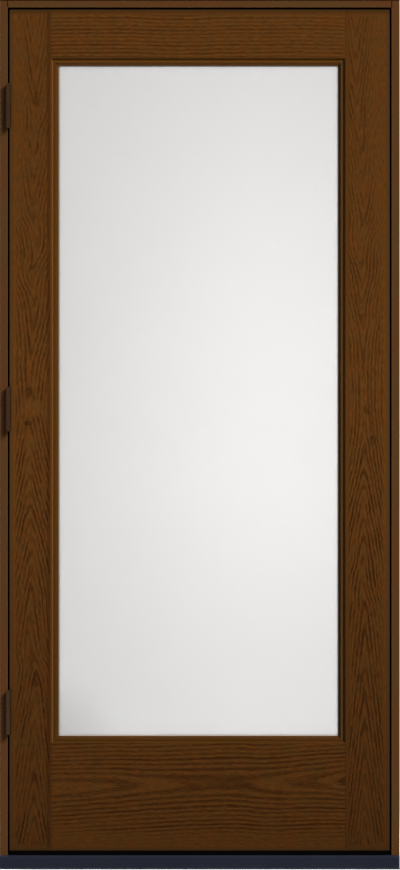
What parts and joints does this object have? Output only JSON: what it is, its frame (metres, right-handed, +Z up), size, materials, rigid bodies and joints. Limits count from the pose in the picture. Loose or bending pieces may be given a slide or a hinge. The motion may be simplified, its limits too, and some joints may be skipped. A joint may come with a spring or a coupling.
{
  "type": "fiberglass full-lite front door with frame",
  "caption": "Outward-opening front door hung in its frame: stained oak-grain skins round one tall frosted glass, with butt hinges, weather seals and a metal sill.",
  "frame": {"origin": "on the underside of the sill, midway between the jambs, in the plane of the jambs' outside edges", "axes": "+X to the right seen from outside, +Y from the outside to the inside, +Z up"},
  "size_m": [0.9524, 0.1459, 2.0701],
  "materials": {
    "stained_frame": "brown stain, satin, smooth",
    "stained_fibreglass": "moulded oak grain with a dark brown stain, satin",
    "stained_bead": "dark brown stain, satin",
    "edge_composite": "painted to match the skins",
    "core_foam": "rigid foam",
    "frosted_glass": "satin, frosted on its cavity side",
    "clear_glass": "clear float",
    "spacer_bar": "matt light grey foam spacer",
    "glazing_tape": "matt",
    "weather_seal": "matt skin over foam",
    "sweep_vinyl": "matt black",
    "sill_metal": "dark blue grey, fine ribs, satin",
    "sill_substrate": "rough composite",
    "hinge_bronze": "oil-rubbed bronze, satin"
  },
  "bodies": {
    "frame": {"hinge_jamb": "stained_frame", "strike_jamb": "stained_frame", "head_jamb": "stained_frame", "hinge_side_seal": "weather_seal", "strike_side_seal": "weather_seal", "head_seal": "weather_seal", "sill_deck": "sill_metal", "sill_base": "sill_substrate", "threshold_bumper": "sill_metal", "threshold_seal": "weather_seal", "top_hinge_jamb_leaf": "hinge_bronze", "top_hinge_pin": "hinge_bronze", "middle_hinge_jamb_leaf": "hinge_bronze", "middle_hinge_pin": "hinge_bronze", "bottom_hinge_jamb_leaf": "hinge_bronze", "bottom_hinge_pin": "hinge_bronze"},
    "door": {"outside_skin": "stained_fibreglass", "inside_skin": "stained_fibreglass", "hinge_stile": "edge_composite", "lock_stile": "edge_composite", "top_rail": "edge_composite", "bottom_rail": "edge_composite", "foam_core": "core_foam", "outside_pane": "frosted_glass", "inside_pane": "clear_glass", "glass_spacer": "spacer_bar", "outside_glazing_tape": "glazing_tape", "inside_glazing_tape": "glazing_tape", "door_sweep": "sweep_vinyl", "outside_bead_bottom": "stained_bead", "outside_bead_top": "stained_bead", "outside_bead_hinge_side": "stained_bead", "outside_bead_lock_side": "stained_bead", "inside_bead_bottom": "stained_bead", "inside_bead_top": "stained_bead", "inside_bead_hinge_side": "stained_bead", "inside_bead_lock_side": "stained_bead", "top_hinge_door_leaf": "hinge_bronze", "middle_hinge_door_leaf": "hinge_bronze", "bottom_hinge_door_leaf": "hinge_bronze"}
  },
  "joints": [
    {"name": "door_swing", "type": "hinge", "parent": "frame", "child": "door", "pos_m": [-0.45465, -0.0111, 1], "axis": [0, 0, -1], "range_deg": [0, 170]}
  ]
}
